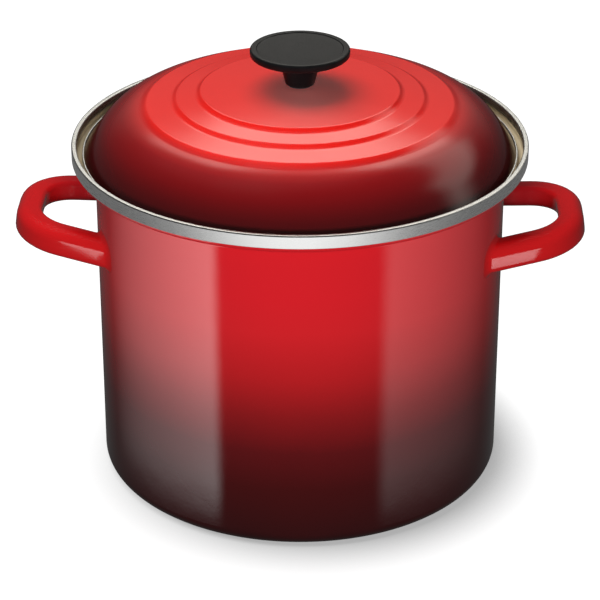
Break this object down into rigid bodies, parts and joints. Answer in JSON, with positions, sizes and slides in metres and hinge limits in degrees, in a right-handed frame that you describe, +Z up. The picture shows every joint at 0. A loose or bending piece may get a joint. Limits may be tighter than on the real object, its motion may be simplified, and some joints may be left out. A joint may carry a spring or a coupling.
{
  "type": "stock pot",
  "caption": "Enamelled-steel stock pot with flared steel-banded rim, looped side handles and a stepped, domed lift-off lid with a disc knob.",
  "frame": {"origin": "centre of the base, on the surface that the pot stands on", "axes": "+Z up, X through the two side handles, Y towards the back"},
  "size_m": [0.3278, 0.26, 0.2556],
  "materials": {
    "red_enamel": "gloss vitreous enamel, deep red",
    "sand_enamel": "gloss vitreous enamel, sand",
    "ground_coat": "semi-gloss vitreous ground coat, near black",
    "core_steel": "bare drawn sheet steel, hidden under the enamel",
    "enamelled_weld": "weld collar under gloss red enamel",
    "rim_steel": "polished stainless strip",
    "phenolic": "moulded phenolic, satin black",
    "brass": "turned brass",
    "fastener_steel": "stainless steel",
    "gasket_rubber": "heat-proof rubber"
  },
  "bodies": {
    "pot": {"pot_shell": "core_steel", "pot_exterior_enamel": "red_enamel", "pot_interior_enamel": "sand_enamel", "base_ground_coat": "ground_coat", "pot_rim_band": "rim_steel", "left_handle": "core_steel", "left_handle_welds": "enamelled_weld", "left_handle_enamel": "red_enamel", "right_handle": "core_steel", "right_handle_welds": "enamelled_weld", "right_handle_enamel": "red_enamel"},
    "lid": {"lid_shell": "core_steel", "lid_exterior_enamel": "red_enamel", "lid_underside_enamel": "sand_enamel", "lid_ring": "rim_steel", "knob": "phenolic", "knob_insert": "brass", "knob_screw": "fastener_steel", "knob_washer": "fastener_steel", "knob_lock_washer": "fastener_steel", "knob_gasket": "gasket_rubber"}
  },
  "joints": [
    {"name": "lid_lift", "type": "slide", "parent": "pot", "child": "lid", "axis": [0, 0, 1], "range_m": [0, 0.15]}
  ]
}
